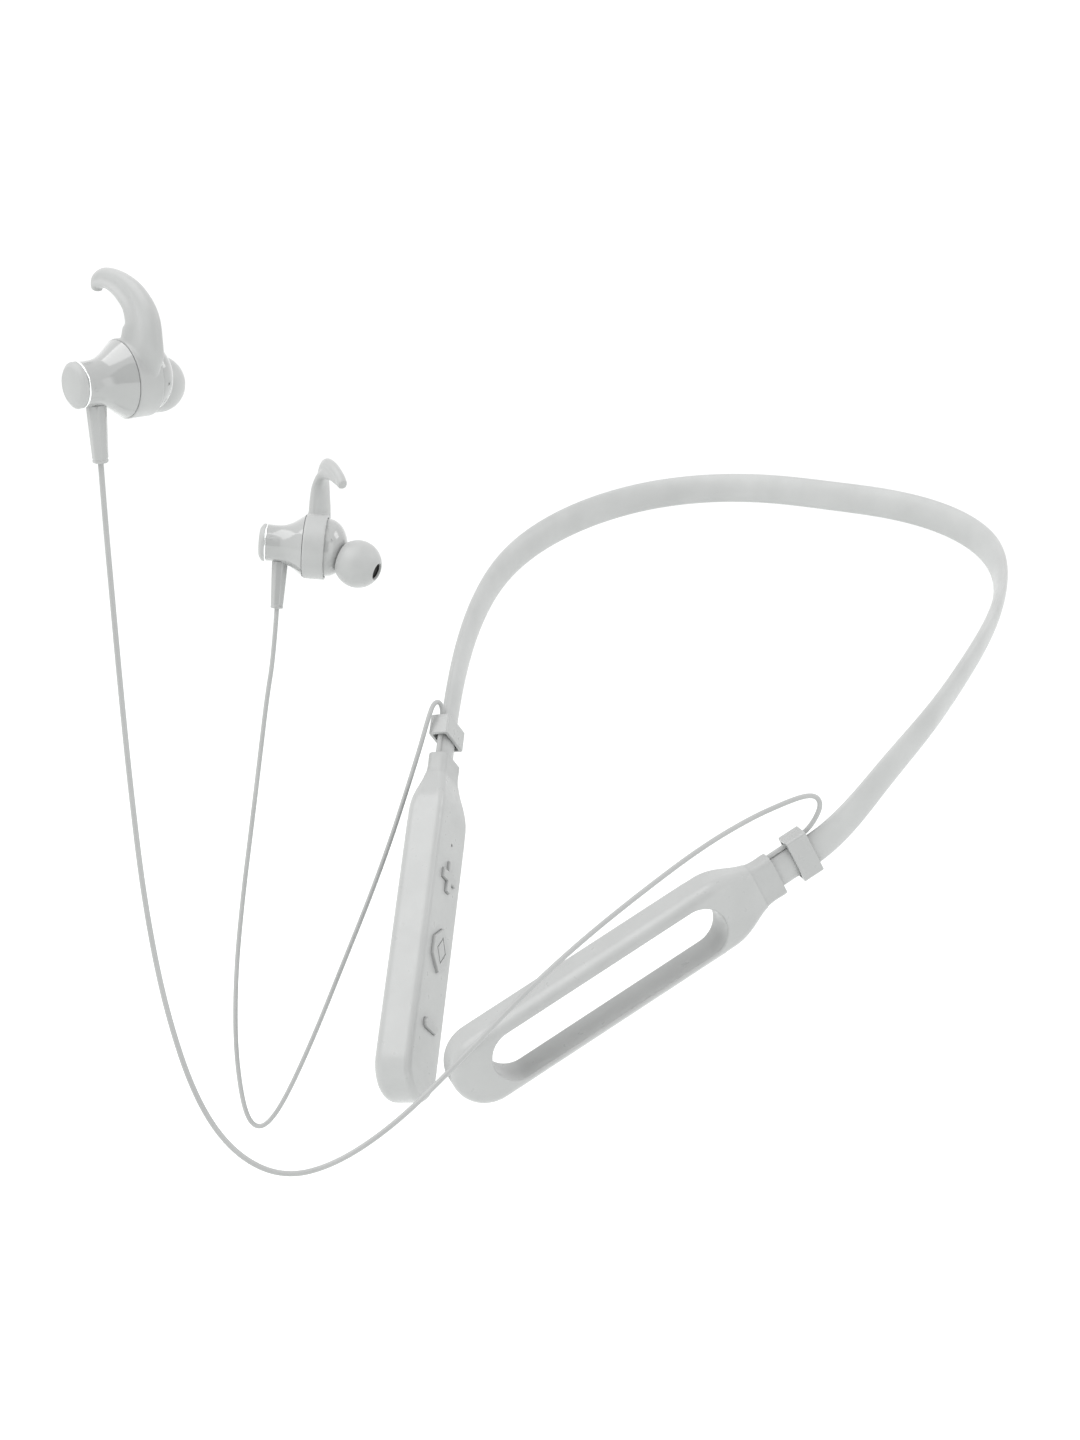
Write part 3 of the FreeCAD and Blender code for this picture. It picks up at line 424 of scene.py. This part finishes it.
def strip_rings():
    """Outline rings of the strip, with a fine mould line along both edges."""
    ends = (-12.0, -6.0, 0.0, STRIP_BURIED)
    left = [np.array(p) / MM for p in LEFT_ARM]
    left += [module_point(PLACES["left_module"], x) for x in ends]
    right = [np.array(p) / MM for p in RIGHT_ARM]
    right += [module_point(PLACES["right_module"], x) for x in ends]
    back = np.array((0.0, STRIP_THICKNESS / 2, 0.0))
    spline = Spline(right[::-1] + [back] + left)
    middle = spline.t[len(right)]
    limits = {"right": spline.t[3], "left": spline.t[-4]}
    ups = {side: np.array(PLACES[side + "_module"].col[1][:3]) for side in SIDES}
    rolls = {}
    for side, limit in limits.items():
        tangent = spline.at(limit)[1]
        start = upward(tangent)
        rolls[side] = math.atan2(tangent.dot(np.cross(start, ups[side])), start.dot(ups[side]))
    rings = []
    for t in np.linspace(0.0, spline.t[-1], STRIP_RINGS):
        side = "right" if t <= middle else "left"
        centre, tangent = spline.at(t)
        share = min(abs(t - middle) / abs(limits[side] - middle), 1.0)
        if share < 1.0:
            lean = math.radians(BACK_ROLL)
            up = turned_about(upward(tangent), tangent, -lean + (rolls[side] + lean) * share ** 2)
        else:
            up = ups[side] - tangent * tangent.dot(ups[side])
            up /= np.linalg.norm(up)
        out = np.cross(tangent, up)
        ring = []
        for j in range(STRIP_SIDES):
            angle = 2 * math.pi * j / STRIP_SIDES
            ridge = MOULD_LINE if j in (0, STRIP_SIDES // 2) else 0.0
            ring.append(centre + up * (STRIP_WIDTH / 2 - MOULD_LINE + ridge) * math.cos(angle)
                        + out * (STRIP_THICKNESS / 2) * math.sin(angle))
        rings.append(ring)
    return rings


strip = new_object("strip_sleeve", *rings_to_mesh(strip_rings()), smooth_angle=60.0)
finish_piece(strip, "headset", "strip_silicone", "neck_strip")

# ---- earbuds ------------------------------------------------------------

# Sizes in mm in each earbud's frame: x from the cap to the ear, y up along the strain relief.
CAP_RADIUS = 4.95
CAP_LENGTH = 1.6
PLUG_RADIUS = 3.6               # the cap's inner end, inside the rear housing
PLUG_END = 2.8
RING_END = 2.0
RING_BORE = 3.62
RING_PROUD = 0.12               # how far the bright ring stands out past the cap
SLEEVE_START = 11.92
SLEEVE_END = 17.6
SLEEVE_RADIUS = 8.6
SLEEVE_BORE = 7.8
SLEEVE_CENTRE = 14.7
TIP_CENTRE = 13.0               # along the nozzle, from the sleeve's centre
TIP_RADIUS = 6.3
TIP_DEPTH = 4.4                 # from the tip's centre back to its skirt's rim
TIP_WALL = 0.7
TIP_LIP = 2.62
WEB_ANGLE = 52                  # where the tip's hollow ends, degrees round its centre
TIP_BORE = 2.25
NOZZLE_LENGTH = 15.5
SNOUT_END = 18.3                # the nozzle's inner tube, behind the tip's lip
SNOUT_START = 14.6
SNOUT_RADIUS = 2.08
SNOUT_BORE = 1.92
SEAT = 2.95                     # bore of the tip's stem
RELIEF_AXIS = 5.6
REAR_VENT = (3.2, 4.84)         # x and radius of each vent's place
FRONT_VENT = (19.2, 7.42)
VENT_ANGLES = {"left": 98.0, "right": 70.0}

# Hook of each ear wing, as in the CAD: lean towards the ear, y, z, width, thickness.
HOOKS = {
    "left": [(0.0, 0.5, 4.6, 7.6, 2.6), (0.0, 5.4, 4.8, 11.6, 4.8), (0.0, 9.0, 5.4, 11.0, 4.8),
             (0.3, 12.9, 5.2, 9.5, 4.5), (0.6, 16.6, 2.2, 7.5, 4.0), (0.9, 18.9, -2.5, 6.0, 3.6),
             (1.1, 20.0, -7.2, 4.9, 3.3), (1.3, 20.0, -11.0, 4.3, 3.1), (1.4, 19.0, -13.8, 3.5, 2.9),
             (1.5, 17.2, -14.6, 2.6, 2.4)],
    "right": [(0.0, 0.5, -3.6, 8.0, 2.6), (0.0, 5.0, -3.6, 11.6, 4.8), (0.0, 9.0, -3.2, 11.0, 4.8),
              (-0.2, 13.5, -2.6, 9.5, 4.5), (-0.1, 17.6, -0.9, 7.5, 4.0), (1.1, 20.6, 2.9, 6.0, 3.6),
              (3.4, 20.4, 6.6, 4.9, 3.3), (5.7, 18.7, 10.0, 3.8, 2.9), (7.0, 17.2, 11.9, 2.6, 2.4)],
}
HANDS = {"left": 1.0, "right": -1.0}
HOOK_TILT = 0.25                # how far the hook's outer edge turns to the ear
WING_MIDDLE = (SLEEVE_START + SLEEVE_END) / 2
HOOK_SEAT = 8.1                 # the hook's root stays outside this radius
HOOK_SIDES = 48
CHANNEL_DEPTH = 0.30            # of the hook's thickness
CHANNEL_PLACE = -0.1            # across the hook, from -1 at its inner edge to 1
CHANNEL_WIDTH = 0.42


def make_end_cap(side, place):
    """Flat spun face with a bevelled rim."""
    profile = [(0.0, 0.0), (0.0, 3.9), (0.06, 4.05), (0.62, 4.78), (0.72, 4.88), (0.9, CAP_RADIUS),
               (CAP_LENGTH - 0.1, CAP_RADIUS), (CAP_LENGTH, CAP_RADIUS - 0.1),
               (CAP_LENGTH, PLUG_RADIUS), (PLUG_END, PLUG_RADIUS), (PLUG_END, 0.0)]
    cap = new_object(side + "_cap_face", *turned_solid(profile), place=place, smooth_angle=25.0,
                     keep_local=True)
    finish_piece(cap, "headset", "cap_paint", side + "_end_cap")


def make_trim(side, place):
    outer = CAP_RADIUS + RING_PROUD
    profile = [(CAP_LENGTH, RING_BORE), (CAP_LENGTH, outer - 0.10), (CAP_LENGTH + 0.05, outer - 0.03),
               (CAP_LENGTH + 0.12, outer), (RING_END - 0.12, outer), (RING_END - 0.05, outer - 0.03),
               (RING_END, outer - 0.10), (RING_END, RING_BORE)]
    ring = new_object(side + "_bright_ring", *turned_solid(profile), place=place)
    finish_piece(ring, "headset", "polished_trim", side + "_trim_ring")


def wing_hook_rings(side):
    """Rings of the hook, with a shallow channel down the side towards the cap."""
    stations = smooth_curve(HOOKS[side], 6)
    centres = [np.array((WING_MIDDLE + lean, y, z)) for lean, y, z, _, _ in stations]
    rings = []
    last = len(stations) - 1
    for i, centre in enumerate(centres):
        width, thickness = stations[i][3:]
        along = centres[min(i + 1, last)] - centres[max(i - 1, 0)]
        along /= np.linalg.norm(along)
        outward = np.cross((1.0, 0.0, 0.0), along) * HANDS[side]
        major = outward / np.linalg.norm(outward) + np.array((HOOK_TILT, 0.0, 0.0))
        major -= along * along.dot(major)
        major /= np.linalg.norm(major)
        earward = np.cross(along, major) * HANDS[side]
        share = i / last
        run = min(max((share - 0.12) / 0.82, 0.0), 1.0)
        dent = CHANNEL_DEPTH * thickness * math.sin(math.pi * run) ** 0.6
        ring = []
        for j in range(HOOK_SIDES):
            angle = 2 * math.pi * j / HOOK_SIDES
            c, s = math.cos(angle), math.sin(angle)
            rise = thickness / 2 * math.copysign(abs(s) ** 0.85, s)
            if s < 0:
                rise += dent * math.exp(-((c - CHANNEL_PLACE) / CHANNEL_WIDTH) ** 2)
            point = centre + major * (width / 2) * c + earward * rise
            radius = math.hypot(point[1], point[2])
            if radius < HOOK_SEAT:
                point[1:] *= HOOK_SEAT / radius
            ring.append(point)
        rings.append(ring)
    return rings


def joined(*solids):
    """Vertices and faces of several solids as one list each."""
    verts, faces = [], []
    for more_verts, more_faces in solids:
        faces += [tuple(v + len(verts) for v in face) for face in more_faces]
        verts += more_verts
    return verts, faces


def apply_modifiers(obj):
    evaluated = obj.evaluated_get(bpy.context.evaluated_depsgraph_get())
    mesh = bpy.data.meshes.new_from_object(evaluated)
    obj.modifiers.clear()
    obj.data = mesh


def make_wing(side, place):
    """Band and hook joined into one skin, with the band's bore kept clear."""
    band_profile = [(SLEEVE_START, SLEEVE_BORE), (SLEEVE_START, SLEEVE_RADIUS),
                    (SLEEVE_END, SLEEVE_RADIUS), (SLEEVE_END, SLEEVE_BORE)]
    solids = joined(turned_solid(band_profile), rings_to_mesh(wing_hook_rings(side)))
    wing = new_object(side + "_wing_sleeve", *solids)
    remesh = wing.modifiers.new("remesh", "REMESH")
    remesh.mode = "VOXEL"
    remesh.voxel_size = 0.22 * MM
    smooth = wing.modifiers.new("smooth", "SMOOTH")
    smooth.factor = 0.6
    smooth.iterations = 6
    apply_modifiers(wing)
    bore = SLEEVE_BORE * MM
    for v in wing.data.vertices:
        radius = math.hypot(v.co.y, v.co.z)
        if radius < bore:
            v.co.y *= bore / radius
            v.co.z *= bore / radius
    wing.data.transform(place)
    wing.data.shade_smooth()
    wing.data.materials.clear()
    finish_piece(wing, side + "_wing", "soft_silicone", side + "_ear_wing")


def make_ear_tip(side, place):
    """Hollow mushroom with a rounded lip at the sound opening and a thin rolled skirt."""
    rear = TIP_CENTRE - TIP_DEPTH
    inside = TIP_RADIUS - TIP_WALL
    outer_angle = math.degrees(math.acos(-TIP_DEPTH / TIP_RADIUS))
    inner_angle = math.degrees(math.acos(-TIP_DEPTH / inside))
    front_angle = math.degrees(math.asin(TIP_LIP / TIP_RADIUS))
    front = TIP_CENTRE + TIP_RADIUS * math.cos(math.radians(front_angle))
    outer_rim = TIP_RADIUS * math.sin(math.radians(outer_angle))
    inner_rim = inside * math.sin(math.radians(inner_angle))
    middle = (outer_rim + inner_rim) / 2
    profile = arc(TIP_CENTRE, TIP_RADIUS, front_angle, outer_angle, 40)
    profile += [(rear - 0.12, middle + 0.15), (rear - 0.12, middle - 0.15)]
    profile += arc(TIP_CENTRE, inside, inner_angle, WEB_ANGLE, 24)
    profile += [(TIP_CENTRE + 3.2, 3.8), (rear + 0.5, 3.8), (rear + 0.4, 3.7), (rear + 0.4, SEAT),
                (NOZZLE_LENGTH + 0.2, SEAT), (NOZZLE_LENGTH + 0.2, TIP_BORE), (front - 0.1, TIP_BORE),
                (front + 0.02, 2.32), (front + 0.05, 2.45)]
    tip = new_object(side + "_tip_dome", *turned_solid(profile, 144), place=place, smooth_angle=40.0)
    finish_piece(tip, side + "_tip", "soft_silicone", side + "_ear_tip")


GRILLE_RADIUS = 1.96
GRILLE_PITCH = 0.40
GRILLE_HOLE = 0.13
HEXAGON = [math.radians(30 + 60 * k) for k in range(6)]


def make_nozzle_grille(side, place):
    """Inner tube of the nozzle and, near its end, a disc pierced by a hexagonal grid of holes."""
    front, back = SNOUT_END - 0.3, SNOUT_END - 0.55
    verts, faces = [], []
    reach = int(GRILLE_RADIUS / GRILLE_PITCH) + 2
    for row in range(-reach, reach + 1):
        for column in range(-reach, reach + 1):
            cy = (column + 0.5 * (row % 2)) * GRILLE_PITCH
            cz = row * GRILLE_PITCH * math.sqrt(3) / 2
            if math.hypot(cy, cz) > GRILLE_RADIUS - 0.02:
                continue
            start = len(verts)
            for x in (front, back):
                for size in (GRILLE_PITCH / math.sqrt(3), GRILLE_HOLE):
                    verts += [(x, cy + size * math.cos(a), cz + size * math.sin(a)) for a in HEXAGON]
            for k in range(6):
                n = (k + 1) % 6
                faces.append((start + k, start + n, start + 6 + n, start + 6 + k))
                faces.append((start + 12 + n, start + 12 + k, start + 18 + k, start + 18 + n))
                faces.append((start + 6 + k, start + 6 + n, start + 18 + n, start + 18 + k))
    tube = [(SNOUT_START, SNOUT_BORE), (SNOUT_START, SNOUT_RADIUS), (SNOUT_END - 0.08, SNOUT_RADIUS),
            (SNOUT_END, 2.02), (SNOUT_END, 1.97), (SNOUT_END - 0.06, SNOUT_BORE)]
    snout = new_object(side + "_snout", *turned_solid(tube, 96), place=place)
    finish_piece(snout, "headset", "mesh_steel")
    grille = new_object(side + "_grille", verts, faces, place=place)
    finish_piece(grille, "headset", "mesh_steel", side + "_nozzle_mesh")


def make_vent(name, place, x, radius, angle):
    """Tiny vent: a rim standing on the housing round a sunken dark disc."""
    c, s = math.cos(math.radians(angle)), math.sin(math.radians(angle))
    seat = place @ local_frame((x, radius * c, radius * s), (0, c, s), (1, 0, 0))
    rim = [(-0.25, 0.34), (-0.25, 0.52), (0.02, 0.52), (0.06, 0.47), (0.06, 0.39), (0.0, 0.34)]
    lip = new_object(name + "_lip", *turned_solid(rim, 48), place=seat)
    finish_piece(lip, "headset", "gloss_housing")
    disc = [(-0.2, 0.0), (-0.2, 0.36), (-0.06, 0.36), (-0.09, 0.0)]
    core = new_object(name + "_mesh", *turned_solid(disc, 48), place=seat)
    finish_piece(core, "headset", "mesh_steel")


RELIEF_SIDES = 8
RELIEF_POINTS = 96
# y and radius of the strain relief, with a short neck above and a foot ring below
RELIEF_PROFILE = [(-3.4, 1.62), (-4.3, 1.66), (-4.6, 1.9), (-4.75, 2.12), (-5.2, 2.18), (-6.5, 2.16),
                  (-9.0, 2.06), (-12.0, 1.92), (-15.0, 1.78), (-16.2, 1.73), (-16.35, 1.66),
                  (-16.5, 1.66), (-16.65, 1.74), (-17.05, 1.72), (-17.2, 1.6)]


def make_strain_relief(side, place):
    """Tapered eight-sided sleeve with soft edges."""
    half_side = math.pi / RELIEF_SIDES
    rings = []
    for y, radius in RELIEF_PROFILE:
        flat = min(max((-4.5 - y) / 0.6, 0.0), 1.0)
        ring = []
        for j in range(RELIEF_POINTS):
            angle = 2 * math.pi * j / RELIEF_POINTS
            near = (angle + half_side) % (2 * half_side) - half_side
            facet = min(math.cos(half_side) / math.cos(near) * 1.035, 1.0)
            r = radius * (1 - flat + flat * facet)
            ring.append((RELIEF_AXIS + r * math.cos(angle), y, r * math.sin(angle)))
        rings.append(ring)
    relief = new_object(side + "_cable_boot", *rings_to_mesh(rings), place=place, smooth_angle=14.0)
    finish_piece(relief, "headset", "gloss_housing", side + "_strain_relief")


for side in SIDES:
    bud = PLACES[side + "_bud"]
    nozzle = bud @ local_frame((SLEEVE_CENTRE, 0, 0), NOZZLES[side], (0, 1, 0))
    make_end_cap(side, bud)
    make_trim(side, bud)
    make_wing(side, bud)
    make_ear_tip(side, nozzle)
    make_nozzle_grille(side, nozzle)
    make_strain_relief(side, bud)
    make_vent(side + "_rear_vent", bud, *REAR_VENT, VENT_ANGLES[side])
    make_vent(side + "_front_vent", bud, *FRONT_VENT, VENT_ANGLES[side])

# ---- studio -------------------------------------------------------------

world = bpy.data.worlds.new("studio")
bpy.context.scene.world = world
world.use_nodes = True
background = world.node_tree.nodes["Background"]
background.inputs["Color"].default_value = (1.0, 1.0, 1.0, 1)
background.inputs["Strength"].default_value = 1.1
bpy.context.scene.view_settings.view_transform = "Standard"
bpy.context.scene.view_settings.look = "None"

FLOOR_LEVEL = -0.32
FLOOR_REACH = 60.0              # far enough that its edge never shows
FLOOR = material("floor_paper", grey(0.96), 0.9, grain=1.5, depth=2e-5, mottle=0.01, specular=0.1)
corners = [(-FLOOR_REACH, -FLOOR_REACH), (FLOOR_REACH, -FLOOR_REACH), (FLOOR_REACH, FLOOR_REACH),
           (-FLOOR_REACH, FLOOR_REACH)]
floor = new_object("studio_floor", [(x / MM, y / MM, FLOOR_LEVEL / MM) for x, y in corners],
                   [(0, 1, 2, 3)])
floor.data.materials.append(FLOOR)


def area_light(name, location, target, size, power):
    light = bpy.data.lights.new(name, "AREA")
    light.size = size
    light.energy = power
    obj = bpy.data.objects.new(name, light)
    bpy.context.scene.collection.objects.link(obj)
    obj.location = location
    aim = Vector(target) - Vector(location)
    obj.rotation_mode = "QUATERNION"
    obj.rotation_quaternion = aim.to_track_quat("-Z", "Y")


def dark_card(name, outline):
    """Card that only shows as a soft dark reflection in the glossy housings."""
    card = new_object(name, [(x / MM, y / MM, z / MM) for x, y, z in outline], [(0, 1, 2, 3)])
    card.data.materials.append(CARD)
    card.visible_camera = False
    card.visible_diffuse = False
    card.visible_shadow = False


CARD = material("studio_card", grey(0.08), 0.9, grain=1.5, depth=2e-5, mottle=0.05, specular=0.1)
dark_card("front_card", [(0.10, -1.6, -0.30), (1.5, -0.9, -0.30), (1.5, -0.9, 0.9), (0.10, -1.6, 0.9)])
area_light("key", (-0.6, -0.9, 1.25), (0, -0.12, -0.05), 1.5, 15.0)
area_light("fill", (1.1, -0.5, 0.1), (0, -0.12, -0.05), 0.8, 1.5)
area_light("rim", (0.9, 0.6, 0.9), (0, -0.1, -0.05), 0.6, 3.0)
